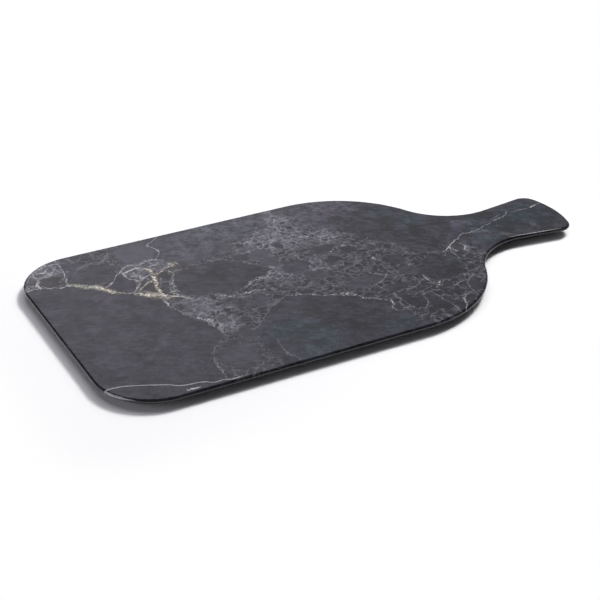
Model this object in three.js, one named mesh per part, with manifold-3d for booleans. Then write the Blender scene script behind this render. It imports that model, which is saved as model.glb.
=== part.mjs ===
// Paddle serving board: a compression-moulded melamine board with a marble-print foil fused into its
// face under a clear glaze, standing on four self-adhesive rubber feet set into its underside.
// Millimetres, +Z up. The origin lies on the table, under the middle of the board's length and width,
// and +X points along the board to the tip of the handle.
import * as THREE from "three";
import { mergeVertices } from "three/addons/utils/BufferGeometryUtils.js";
import Module from "manifold-3d";

// Outline of the board, seen from above
const boardWidth = 200;
const buttCornerRadius = 40;
const bladeLength = 214; // butt end to the start of the shoulders
const shoulderRadius = 85;
const neckFilletRadius = 48;
const neckWidth = 48;
const gripLength = 54; // narrowest place of the neck to the tip of the handle
const gripFlareAngle = 7.5; // degrees that each side of the grip opens towards its end
const gripEndRadius = 67;
const gripCornerRadius = 11;

// Layers, from the underside up
const boardThickness = 7;
const foilThickness = 0.2;
const glazeThickness = 0.3;

// Edge of the board, in section: a round above the parting line, a smaller one below it and a long undercut
const topEdgeRadius = 1.7;
const lowerEdgeRadius = 0.9;
const undercutInset = 8.5; // outline to the flat underside

// Feet, and the sockets that hold them
const footDiameter = 12;
const footHeight = 2;
const footEdgeRadius = 0.6;
const socketDepth = 1.2;
const socketClearance = 0.3; // around the foot
const adhesiveThickness = 0.2;
const footFromButt = 42;
const footFromSide = 42;
const footPastShoulder = 44; // how far the second pair of feet stands past the start of the shoulders

// Facets
const arcStep = 6; // degrees of turn for each facet of the outline
const smallArcStep = 15; // degrees, on the tight corners of the grip
const topEdgeSteps = 4;
const lowerEdgeSteps = 3;
const footSides = 28;
const footEdgeSteps = 3;
const samePoint = 1e-6; // points of the outline closer than this are one point

const degrees = THREE.MathUtils.degToRad;
const halfWidth = boardWidth / 2;
const footProud = footHeight + adhesiveThickness - socketDepth;
const underside = footProud;
const topFace = underside + boardThickness;
const partingLine = topFace - topEdgeRadius;

const wasm = await Module();
wasm.setup();

// Points of an arc, each with the outline's outward normal there. A hollow arc bends the outline inwards.
function arc(centre, radius, from, to, step, hollow = false) {
  const steps = Math.max(1, Math.ceil(Math.abs(to - from) / degrees(step)));
  return Array.from({ length: steps + 1 }, (_, i) => {
    const angle = from + ((to - from) * i) / steps;
    const radial = new THREE.Vector2(Math.cos(angle), Math.sin(angle));
    return {
      point: centre.clone().addScaledVector(radial, radius),
      normal: radial.multiplyScalar(hollow ? -1 : 1),
    };
  });
}

// The outline's +Y half from the butt end to the tip, as tangent arcs. X counts from the butt end here.
function halfOutline() {
  const corner = new THREE.Vector2(buttCornerRadius, halfWidth - buttCornerRadius);
  const shoulder = new THREE.Vector2(bladeLength, halfWidth - shoulderRadius);

  // The neck's fillet touches the shoulder's arc and is narrowest at its own centre's X
  const filletY = neckWidth / 2 + neckFilletRadius;
  const rise = filletY - shoulder.y;
  const run = Math.sqrt((shoulderRadius + neckFilletRadius) ** 2 - rise ** 2);
  const fillet = new THREE.Vector2(shoulder.x + run, filletY);
  const meeting = Math.atan2(rise, run);

  // The grip's side leaves the fillet at the flare angle and ends in a corner inside the end's wide arc
  const flare = degrees(gripFlareAngle);
  const along = new THREE.Vector2(Math.cos(flare), Math.sin(flare));
  const inward = new THREE.Vector2(Math.sin(flare), -Math.cos(flare));
  const tip = fillet.x + gripLength;
  const endArc = new THREE.Vector2(tip - gripEndRadius, 0);
  const cornerTrack = fillet.clone().addScaledVector(inward, neckFilletRadius + gripCornerRadius);
  const offset = cornerTrack.clone().sub(endArc);
  const half = offset.dot(along);
  const reach = (gripEndRadius - gripCornerRadius) ** 2 - offset.lengthSq() + half ** 2;
  const gripCorner = cornerTrack.clone().addScaledVector(along, Math.sqrt(reach) - half);
  const endSpread = gripCorner.clone().sub(endArc).angle();

  const quarter = Math.PI / 2;
  return {
    tip,
    arcs: [
      arc(corner, buttCornerRadius, Math.PI, quarter, arcStep),
      arc(shoulder, shoulderRadius, quarter, meeting, arcStep),
      arc(fillet, neckFilletRadius, Math.PI + meeting, 3 * quarter + flare, arcStep, true),
      arc(gripCorner, gripCornerRadius, quarter + flare, endSpread, smallArcStep),
      arc(endArc, gripEndRadius, endSpread, 0, arcStep),
    ],
  };
}

// The whole outline, anticlockwise from above, centred on the origin
function wholeOutline() {
  const { tip, arcs } = halfOutline();
  const upper = [];
  for (const points of arcs) {
    for (const { point, normal } of points) {
      const last = upper.at(-1);
      const centred = new THREE.Vector2(point.x - tip / 2, point.y);
      const isNew = !last || last.point.distanceTo(centred) > samePoint;
      if (isNew) {
        upper.push({ point: centred, normal });
      }
    }
  }
  const mirrored = ({ point, normal }) => ({
    point: new THREE.Vector2(point.x, -point.y),
    normal: new THREE.Vector2(normal.x, -normal.y),
  });
  const lower = upper.slice(0, -1).map(mirrored);
  return { outline: [...lower, ...upper.reverse()], length: tip };
}

const { outline, length: boardLength } = wholeOutline();

// One turn of the outline, moved inwards by the inset and lifted to a height
function ring(inset, height) {
  return outline.map(({ point, normal }) => {
    const { x, y } = point.clone().addScaledVector(normal, -inset);
    return new THREE.Vector3(x, y, height);
  });
}

// A closed skin through the rings, with a flat cap on the first, facing down, and on the last, facing up.
// The side faces' diagonals always rise along the outline, so that two skins through the same rings match.
function loft(rings) {
  const count = outline.length;
  const flat = (points) => points.map(({ x, y }) => new THREE.Vector2(x, y));
  const index = [];
  for (const [a, b, c] of THREE.ShapeUtils.triangulateShape(flat(rings[0]), [])) {
    index.push(a, c, b);
  }
  rings.slice(1).forEach((upper, i) => {
    const rises = upper[0].z >= rings[i][0].z;
    for (let j = 0; j < count; j++) {
      const next = (j + 1) % count;
      const a = i * count + j;
      const b = i * count + next;
      const c = (i + 1) * count + next;
      const d = (i + 1) * count + j;
      index.push(...(rises ? [a, b, c, a, c, d] : [a, b, d, b, c, d]));
    }
  });
  const first = (rings.length - 1) * count;
  for (const face of THREE.ShapeUtils.triangulateShape(flat(rings.at(-1)), [])) {
    index.push(...face.map((i) => first + i));
  }
  return new THREE.BufferGeometry().setFromPoints(rings.flat()).setIndex(index);
}

// Rings of the rounded top edge, from the parting line up, at a depth under the finished surface
function topEdge(depth) {
  return Array.from({ length: topEdgeSteps + 1 }, (_, i) => {
    const angle = ((Math.PI / 2) * i) / topEdgeSteps;
    const radius = topEdgeRadius - depth;
    return ring(topEdgeRadius - radius * Math.cos(angle), partingLine + radius * Math.sin(angle));
  });
}

// Rings of the undercut: a straight slope up from the flat underside, which touches the lower round
function undercut() {
  const run = undercutInset - lowerEdgeRadius;
  const drop = partingLine - underside;
  const slope = Math.atan2(drop, run) - Math.asin(lowerEdgeRadius / Math.hypot(run, drop));
  const lowerEdge = Array.from({ length: lowerEdgeSteps + 1 }, (_, i) => {
    const angle = (Math.PI / 2 - slope) * (1 - i / lowerEdgeSteps);
    return ring(lowerEdgeRadius * (1 - Math.cos(angle)), partingLine - lowerEdgeRadius * Math.sin(angle));
  });
  return [ring(undercutInset, underside), ...lowerEdge];
}

// A layer that covers the face and rolls over its edge down to the parting line
function layer(outerDepth, innerDepth) {
  return loft([...topEdge(innerDepth).reverse(), ...topEdge(outerDepth)]);
}

function toManifold(geometry) {
  const bare = geometry.clone();
  bare.deleteAttribute("normal");
  bare.deleteAttribute("uv");
  const merged = mergeVertices(bare);
  return new wasm.Manifold(
    new wasm.Mesh({
      numProp: 3,
      vertProperties: merged.getAttribute("position").array,
      triVerts: new Uint32Array(merged.index.array),
    }),
  );
}

function fromManifold(solid) {
  const { vertProperties, triVerts } = solid.getMesh();
  return new THREE.BufferGeometry()
    .setAttribute("position", new THREE.BufferAttribute(vertProperties, 3))
    .setIndex(new THREE.BufferAttribute(triVerts, 1));
}

// An upright disc standing on a height
function disc(diameter, thickness, x, y, height) {
  return new THREE.CylinderGeometry(diameter / 2, diameter / 2, thickness, footSides)
    .rotateX(Math.PI / 2)
    .translate(x, y, height + thickness / 2);
}

const footPlaces = [
  { name: "butt_left", x: footFromButt, side: 1 },
  { name: "butt_right", x: footFromButt, side: -1 },
  { name: "neck_left", x: bladeLength + footPastShoulder, side: 1 },
  { name: "neck_right", x: bladeLength + footPastShoulder, side: -1 },
].map(({ name, x, side }) => ({ name, x: x - boardLength / 2, y: side * (halfWidth - footFromSide) }));

// The moulding: everything under the foil, with a round socket for each foot
function mouldedBody() {
  const socketDiameter = footDiameter + 2 * socketClearance;
  const cutBelow = 1; // the cutter starts this far under the underside
  const blank = loft([...undercut(), ...topEdge(glazeThickness + foilThickness)]);
  const sockets = footPlaces.map(({ x, y }) =>
    toManifold(disc(socketDiameter, socketDepth + cutBelow, x, y, underside - cutBelow)),
  );
  return fromManifold(sockets.reduce((body, socket) => body.subtract(socket), toManifold(blank)));
}

// A foot, turned from its half section, with its flat sole on the table
function foot({ x, y }) {
  const radius = footDiameter / 2;
  const profile = [new THREE.Vector2(0, 0)];
  for (let i = 0; i <= footEdgeSteps; i++) {
    const angle = ((Math.PI / 2) * i) / footEdgeSteps;
    const out = radius - footEdgeRadius + footEdgeRadius * Math.sin(angle);
    profile.push(new THREE.Vector2(out, footEdgeRadius * (1 - Math.cos(angle))));
  }
  profile.push(new THREE.Vector2(radius, footHeight), new THREE.Vector2(0, footHeight));
  return new THREE.LatheGeometry(profile, footSides).rotateX(Math.PI / 2).translate(x, y, 0);
}

// The adhesive disc between a foot and the roof of its socket
function adhesive({ x, y }) {
  return disc(footDiameter, adhesiveThickness, x, y, footHeight);
}

const melamine = new THREE.MeshStandardMaterial({ color: 0x17171a, roughness: 0.35, metalness: 0 });
const print = new THREE.MeshStandardMaterial({ color: 0x45454b, roughness: 0.45, metalness: 0 });
const glaze = new THREE.MeshStandardMaterial({
  color: 0xf4f4f6,
  roughness: 0.3,
  metalness: 0,
  transparent: true,
  opacity: 0.12,
});
const rubber = new THREE.MeshStandardMaterial({ color: 0x1b1b1c, roughness: 0.85, metalness: 0 });
const tape = new THREE.MeshStandardMaterial({ color: 0xcfc9b8, roughness: 0.6, metalness: 0 });

const board = new THREE.Group();

function add(name, geometry, material) {
  const mesh = new THREE.Mesh(geometry, material);
  mesh.name = name;
  board.add(mesh);
}

add("moulded_body", mouldedBody(), melamine);
add("decor_foil", layer(glazeThickness, glazeThickness + foilThickness), print);
add("clear_glaze", layer(0, glazeThickness), glaze);
for (const place of footPlaces) {
  add(`foot_${place.name}`, foot(place), rubber);
  add(`foot_adhesive_${place.name}`, adhesive(place), tape);
}

export default board;
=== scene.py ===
import math

import bpy
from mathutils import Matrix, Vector
from mathutils.geometry import tessellate_polygon


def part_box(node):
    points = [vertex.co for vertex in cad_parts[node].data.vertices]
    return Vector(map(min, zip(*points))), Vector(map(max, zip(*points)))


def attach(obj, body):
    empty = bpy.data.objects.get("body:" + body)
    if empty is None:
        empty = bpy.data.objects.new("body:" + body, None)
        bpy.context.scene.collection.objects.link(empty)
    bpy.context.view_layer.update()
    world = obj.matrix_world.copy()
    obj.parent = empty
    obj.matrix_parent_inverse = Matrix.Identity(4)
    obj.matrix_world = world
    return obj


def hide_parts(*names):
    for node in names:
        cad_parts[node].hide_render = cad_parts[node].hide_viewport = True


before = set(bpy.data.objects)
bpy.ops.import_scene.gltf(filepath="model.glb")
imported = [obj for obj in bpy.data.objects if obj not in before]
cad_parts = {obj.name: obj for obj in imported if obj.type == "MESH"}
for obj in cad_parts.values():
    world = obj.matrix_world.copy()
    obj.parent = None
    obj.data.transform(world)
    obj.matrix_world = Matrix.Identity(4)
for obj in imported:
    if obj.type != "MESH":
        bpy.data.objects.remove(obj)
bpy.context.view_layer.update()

# Sizes of the board in metres: the box comes from the frame, the radii repeat the drawing
face_low, face_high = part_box("clear_glaze")
body_low, body_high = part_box("moulded_body")
BOARD_LENGTH = face_high.x - face_low.x
HALF_WIDTH = face_high.y
TOP_FACE = face_high.z
PARTING_LINE = face_low.z
UNDERSIDE = body_low.z
LAYER_DEPTH = face_high.z - body_high.z
TOP_EDGE_RADIUS = TOP_FACE - PARTING_LINE
BUTT_CORNER_RADIUS = 0.040
BLADE_LENGTH = 0.214
SHOULDER_RADIUS = 0.085
NECK_FILLET_RADIUS = 0.048
NECK_WIDTH = 0.048
GRIP_FLARE = math.radians(7.5)
GRIP_END_RADIUS = 0.067
GRIP_CORNER_RADIUS = 0.011
LOWER_EDGE_RADIUS = 0.0009
UNDERCUT_INSET = 0.0085

# Feet and their sockets in metres. The dish under a foot is drawn in shares of its radius and depth.
FEET = ("butt_left", "butt_right", "neck_left", "neck_right")
FOOT_EDGE_RADIUS = 0.0006
DISH_SHARE = 0.45
DISH_DEPTH = 0.0004
DISH_PROFILE = [(0.35, 1.0), (0.8, 0.8), (1.0, 0.2), (1.15, 0.0)]
SOCKET_CLEARANCE = 0.0003
SOCKET_LEAD_IN = 0.0003
LEAD_IN_BEND = 0.3

# Fineness of the meshes
ARC_STEP = math.radians(1.5)
EDGE_STEPS = 10
FOOT_EDGE_STEPS = 6
ROUND_SIDES = 64
FLAT_MARGIN = 0.0003
SAME_POINT = 1e-7
SHARP_ANGLE = math.radians(35)
QUARTER = math.pi / 2


# Outline

def arc(centre, radius, start, end, hollow=False):
    """Points of an arc, each with the outline's outward normal. A hollow arc bends the outline inwards."""
    steps = max(1, math.ceil(abs(end - start) / ARC_STEP))
    points = []
    for i in range(steps + 1):
        angle = start + (end - start) * i / steps
        radial = Vector((math.cos(angle), math.sin(angle)))
        points.append((centre + radial * radius, -radial if hollow else radial))
    return points


def grip_arcs(fillet):
    """The grip's rounded corner and its end arc. The grip flares straight on from the neck fillet."""
    along = Vector((math.cos(GRIP_FLARE), math.sin(GRIP_FLARE)))
    inward = Vector((math.sin(GRIP_FLARE), -math.cos(GRIP_FLARE)))
    end_arc = Vector((BOARD_LENGTH / 2 - GRIP_END_RADIUS, 0.0))
    track = fillet + inward * (NECK_FILLET_RADIUS + GRIP_CORNER_RADIUS)
    offset = track - end_arc
    half = offset.dot(along)
    reach = (GRIP_END_RADIUS - GRIP_CORNER_RADIUS) ** 2 - offset.length_squared + half**2
    corner = track + along * (math.sqrt(reach) - half)
    spread = math.atan2(corner.y - end_arc.y, corner.x - end_arc.x)
    return [
        *arc(corner, GRIP_CORNER_RADIUS, QUARTER + GRIP_FLARE, spread),
        *arc(end_arc, GRIP_END_RADIUS, spread, 0.0),
    ]


def half_outline():
    """The +Y half of the outline from the butt end to the tip, as tangent arcs."""
    butt = -BOARD_LENGTH / 2
    corner = Vector((butt + BUTT_CORNER_RADIUS, HALF_WIDTH - BUTT_CORNER_RADIUS))
    shoulder = Vector((butt + BLADE_LENGTH, HALF_WIDTH - SHOULDER_RADIUS))
    fillet_y = NECK_WIDTH / 2 + NECK_FILLET_RADIUS
    rise = fillet_y - shoulder.y
    run = math.sqrt((SHOULDER_RADIUS + NECK_FILLET_RADIUS) ** 2 - rise**2)
    fillet = Vector((shoulder.x + run, fillet_y))
    meeting = math.atan2(rise, run)
    return [
        *arc(corner, BUTT_CORNER_RADIUS, math.pi, QUARTER),
        *arc(shoulder, SHOULDER_RADIUS, QUARTER, meeting),
        *arc(fillet, NECK_FILLET_RADIUS, math.pi + meeting, 3 * QUARTER + GRIP_FLARE, hollow=True),
        *grip_arcs(fillet),
    ]


def whole_outline():
    """The whole outline, anticlockwise from above, without doubled points."""
    upper = []
    for point, normal in half_outline():
        if not upper or (point - upper[-1][0]).length > SAME_POINT:
            upper.append((point, normal))
    flip = Vector((1.0, -1.0))
    lower = [(point * flip, normal * flip) for point, normal in upper[:-1]]
    return lower + upper[::-1]


OUTLINE = whole_outline()


def ring(inset, height):
    """One turn of the outline, moved inwards and lifted to a height."""
    turn = []
    for point, normal in OUTLINE:
        place = point - normal * inset
        turn.append((place.x, place.y, height))
    return turn


def circle(centre, radius, height):
    """An anticlockwise circle."""
    turn = []
    for i in range(ROUND_SIDES):
        angle = 2 * math.pi * i / ROUND_SIDES
        turn.append((centre[0] + radius * math.cos(angle), centre[1] + radius * math.sin(angle), height))
    return turn


# Meshes

class Skin:
    """Vertices and faces of one piece, built turn by turn."""

    def __init__(self):
        self.points = []
        self.faces = []

    def turn(self, points):
        """Adds a closed turn of points and returns their numbers."""
        start = len(self.points)
        self.points.extend(points)
        return list(range(start, len(self.points)))

    def wall(self, lower, upper):
        """Joins two turns with a band of faces."""
        count = len(lower)
        for i in range(count):
            j = (i + 1) % count
            self.faces.append((lower[i], lower[j], upper[j], upper[i]))

    def walls(self, turns):
        """Joins the turns one after the other and returns the first and the last of them."""
        made = [self.turn(points) for points in turns]
        for lower, upper in zip(made, made[1:]):
            self.wall(lower, upper)
        return made[0], made[-1]

    def lid(self, turn, facing_up=True):
        """Closes a turn with one flat face."""
        self.faces.append(tuple(turn if facing_up else reversed(turn)))

    def holed_lid(self, outer, holes):
        """A flat face with round holes, facing down."""
        loops = [[Vector(self.points[i]) for i in loop] for loop in [outer, *holes]]
        order = [i for loop in [outer, *holes] for i in loop]
        for a, b, c in tessellate_polygon(loops):
            corners = [Vector(self.points[order[k]]) for k in (a, b, c)]
            up = (corners[1] - corners[0]).cross(corners[2] - corners[0]).z > 0
            self.faces.append((order[a], order[c], order[b]) if up else (order[a], order[b], order[c]))

    def build(self, name, material):
        """The piece as an object in the scene, smooth apart from its sharp edges."""
        mesh = bpy.data.meshes.new(name)
        mesh.from_pydata(self.points, [], self.faces)
        mesh.validate()
        mesh.shade_smooth()
        mesh.set_sharp_from_angle(angle=SHARP_ANGLE)
        mesh.materials.append(material)
        piece = bpy.data.objects.new(name, mesh)
        bpy.context.scene.collection.objects.link(piece)
        return piece


def top_edge(depth):
    """Turns of the rounded top edge, from the parting line up, at a depth under the finished face."""
    turns = []
    radius = TOP_EDGE_RADIUS - depth
    for i in range(EDGE_STEPS + 1):
        angle = QUARTER * i / EDGE_STEPS
        inset = TOP_EDGE_RADIUS - radius * math.cos(angle)
        turns.append(ring(inset, PARTING_LINE + radius * math.sin(angle)))
    turns.append(ring(TOP_EDGE_RADIUS + FLAT_MARGIN, PARTING_LINE + radius))
    return turns


def undercut():
    """Turns of the undercut: a slope up from the flat underside that touches the lower round."""
    run = UNDERCUT_INSET - LOWER_EDGE_RADIUS
    drop = PARTING_LINE - UNDERSIDE
    slope = math.atan2(drop, run) - math.asin(LOWER_EDGE_RADIUS / math.hypot(run, drop))
    turns = [ring(UNDERCUT_INSET + FLAT_MARGIN, UNDERSIDE), ring(UNDERCUT_INSET, UNDERSIDE)]
    for i in range(EDGE_STEPS + 1):
        angle = (QUARTER - slope) * (1 - i / EDGE_STEPS)
        inset = LOWER_EDGE_RADIUS * (1 - math.cos(angle))
        turns.append(ring(inset, PARTING_LINE - LOWER_EDGE_RADIUS * math.sin(angle)))
    return turns


def marble_face(material):
    """The printed foil and its glaze: a thin lid over the face and the rounded top edge."""
    skin = Skin()
    inner, outer = skin.walls([*reversed(top_edge(LAYER_DEPTH)), *top_edge(0.0)])
    skin.lid(inner, facing_up=False)
    skin.lid(outer)
    return skin.build("marble_face", material)


def foot_place(name):
    """Centre, radius, sole and top of a foot."""
    low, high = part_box("foot_" + name)
    return ((low.x + high.x) / 2, (low.y + high.y) / 2), (high.x - low.x) / 2, low.z, high.z


def socket_turns(name):
    """Turns of a foot's socket, from its rim up to its roof, wound as a hole."""
    centre, foot_radius, _, _ = foot_place(name)
    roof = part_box("foot_adhesive_" + name)[1].z
    radius = foot_radius + SOCKET_CLEARANCE
    bend = SOCKET_LEAD_IN * LEAD_IN_BEND
    profile = [
        (radius + SOCKET_LEAD_IN, UNDERSIDE),
        (radius + bend, UNDERSIDE + bend),
        (radius, UNDERSIDE + SOCKET_LEAD_IN),
        (radius, roof),
    ]
    return [circle(centre, r, z)[::-1] for r, z in profile]


def moulding(material):
    """The black body under the foil, with its undercut side and a socket for each foot."""
    skin = Skin()
    bottom, top = skin.walls([*undercut(), *top_edge(LAYER_DEPTH)])
    skin.lid(top)
    rims = []
    for name in FEET:
        rim, roof = skin.walls(socket_turns(name))
        skin.lid(roof)
        rims.append(rim)
    skin.holed_lid(bottom, rims)
    return skin.build("black_moulding", material)


def rubber_foot(name, material):
    """A moulded foot: a flat ring to stand on, round a shallow dish, with rounded edges."""
    centre, radius, sole, top = foot_place(name)
    dish_radius = radius * DISH_SHARE
    profile = [(dish_radius * share, sole + DISH_DEPTH * depth) for share, depth in DISH_PROFILE]
    for i in range(FOOT_EDGE_STEPS + 1):
        angle = QUARTER * i / FOOT_EDGE_STEPS
        across = radius - FOOT_EDGE_RADIUS + FOOT_EDGE_RADIUS * math.sin(angle)
        profile.append((across, sole + FOOT_EDGE_RADIUS * (1 - math.cos(angle))))
    profile.append((radius, top))
    skin = Skin()
    first, last = skin.walls([circle(centre, r, z) for r, z in profile])
    skin.lid(first, facing_up=False)
    skin.lid(last)
    return skin.build("rubber_foot_" + name, material)


# Shader nodes

class Shader:
    """The nodes of a material or of the world, one call each."""

    BUMP_STRENGTH = 0.5

    def __init__(self, owner):
        self.owner = owner
        owner.use_nodes = True
        self.tree = owner.node_tree
        self.tree.nodes.clear()

    def node(self, kind, inputs=(), **settings):
        """A node of a kind, with its settings, and its inputs set or linked."""
        made = self.tree.nodes.new(kind)
        for key, value in settings.items():
            setattr(made, key, value)
        for key, value in dict(inputs).items():
            self.feed(made.inputs[key], value)
        return made

    def feed(self, socket, value):
        """Links another node's output to an input, or sets the input to a value."""
        if isinstance(value, bpy.types.NodeSocket):
            self.tree.links.new(value, socket)
        else:
            socket.default_value = value

    def math(self, operation, *values):
        return self.node("ShaderNodeMath", enumerate(values), operation=operation).outputs[0]

    def minus(self, value, less):
        return self.math("SUBTRACT", value, less)

    def add(self, total, amount, weight):
        """The total plus the amount times its weight."""
        return self.math("MULTIPLY_ADD", amount, weight, total)

    def product(self, *values):
        """All the values multiplied."""
        total = values[0]
        for value in values[1:]:
            total = self.math("MULTIPLY", total, value)
        return total

    def most(self, total, amount):
        """The larger of two amounts, where the first may not exist yet."""
        return amount if total is None else self.math("MAXIMUM", total, amount)

    def vector(self, operation, *values):
        made = self.node("ShaderNodeVectorMath", operation=operation)
        for socket, value in zip(made.inputs, values):
            self.feed(socket, value)
        return made.outputs["Value" if operation in ("LENGTH", "DOT_PRODUCT") else "Vector"]

    def parts(self, place):
        """The X, Y and Z of a place."""
        return self.node("ShaderNodeSeparateXYZ", {"Vector": place}).outputs

    def ramp(self, value, low, high, to_low=0.0, to_high=1.0, smooth=True):
        """Maps low..high to to_low..to_high and stays at those ends."""
        inputs = {"Value": value, "From Min": low, "From Max": high, "To Min": to_low, "To Max": to_high}
        kind = "SMOOTHSTEP" if smooth else "LINEAR"
        return self.node("ShaderNodeMapRange", inputs, interpolation_type=kind, clamp=True).outputs[0]

    def mix(self, amount, a, b):
        """Colour a where the amount is 0, colour b where it is 1."""
        made = self.node("ShaderNodeMix", data_type="RGBA")
        colours = [socket for socket in made.inputs if socket.type == "RGBA"]
        self.feed(made.inputs["Factor"], amount)
        for socket, value in zip(colours, (a, b)):
            self.feed(socket, value)
        return [socket for socket in made.outputs if socket.type == "RGBA"][0]

    def noise(self, place, size, detail=2.0, rough=0.5, output="Fac"):
        """Noise whose features are about one size wide, in the place's own unit, from 0 to 1."""
        inputs = {"Vector": place, "Scale": 1 / size, "Detail": detail, "Roughness": rough}
        return self.node("ShaderNodeTexNoise", inputs, noise_dimensions="3D").outputs[output]

    def waver(self, place, size, reach, detail=2.0, rough=0.5):
        """A shift in X and Y that wanders from place to place, by up to half the reach to each side."""
        wander = self.noise(place, size, detail, rough, output="Color")
        return self.vector("MULTIPLY_ADD", wander, (reach, reach, 0.0), (-reach / 2, -reach / 2, 0.0))

    def curve(self, value, points):
        """A smooth function through given points (value, result), level beyond its ends."""
        first, last = points[0][0], points[-1][0]
        results = [result for _, result in points]
        bottom, top = min(results), max(results)
        span = (top - bottom) or 1.0
        made = self.node("ShaderNodeFloatCurve", {"Value": self.ramp(value, first, last, smooth=False)})
        line = made.mapping.curves[0]
        while len(line.points) < len(points):
            line.points.new(0.5, 0.5)
        for knot, (at, result) in zip(line.points, points):
            knot.location = ((at - first) / (last - first), (result - bottom) / span)
            knot.handle_type = "AUTO"
        made.mapping.update()
        return self.add(bottom, made.outputs[0], span)

    def bump(self, height, depth):
        """A surface that rises by about the depth, in metres, where the height is 1."""
        inputs = {"Strength": self.BUMP_STRENGTH, "Distance": depth, "Height": height}
        return self.node("ShaderNodeBump", inputs).outputs[0]

    def principled(self, **inputs):
        """The finished material, from inputs such as base_color or roughness."""
        names = {key.replace("_", " ").title(): value for key, value in inputs.items()}
        names = {key.replace("Ior", "IOR"): value for key, value in names.items()}
        shader = self.node("ShaderNodeBsdfPrincipled", names)
        self.node("ShaderNodeOutputMaterial", {"Surface": shader.outputs[0]})
        return self.owner

    def millimetres(self):
        """The piece's own place, in millimetres of the board's frame."""
        place = self.node("ShaderNodeTexCoord").outputs["Object"]
        return self.vector("MULTIPLY", place, (1000.0, 1000.0, 1000.0))


def srgb(red, green, blue):
    """A colour given in 8-bit sRGB, as the linear colour that the shader needs."""
    parts = [value / 255 for value in (red, green, blue)]
    linear = [p / 12.92 if p <= 0.04045 else ((p + 0.055) / 1.055) ** 2.4 for p in parts]
    return (*linear, 1.0)


# Marble print. Places are in millimetres of the board's frame, chosen along the real veins.
# A vein is the axis it runs along and its knots, as (place along it, place across it, half width).

CREAM_VEINS = [
    ("X", (-153, 51, 0.2), (-151, 49.5, 0.7), (-149, 47.5, 1.7), (-147, 45, 2.7), (-144.5, 41, 3),
        (-142, 37, 2.2), (-138, 34, 0.6), (-134, 31.5, 0.5), (-130, 28.5, 1.2), (-127, 25.5, 2.4),
        (-122, 21.5, 3.2), (-117, 17.5, 3.4), (-112, 14, 2), (-107, 11, 0.7), (-103, 7.5, 0.6),
        (-100, 5, 0)),
    ("Y", (16, -114, 0), (22, -114, 0.8), (30, -113, 0.7), (38, -111, 0.9), (46, -109.5, 1.2),
        (52, -108.5, 1.2), (57, -110, 0.6), (62, -111.5, 0)),
    ("X", (-110, 46, 0), (-107, 46.8, 0.9), (-104, 47.5, 0.7), (-100, 50.5, 0.7), (-96, 52.5, 0.8),
        (-94, 55, 2.2), (-92, 55.5, 2.8), (-89.5, 55, 2), (-87.5, 54, 0)),
    ("X", (-127, 29, 0), (-123, 33, 0.5), (-118, 37, 0.7), (-113, 38.5, 0.6), (-110, 38, 0)),
]
MOSS_VEINS = [
    ("X", (-166, 61, 0.6), (-161, 57.7, 2.8), (-156, 53.5, 3.6), (-151, 49.5, 4.2), (-147, 45.5, 4),
        (-143, 40, 2.6), (-139, 35.5, 0)),
]
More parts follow.
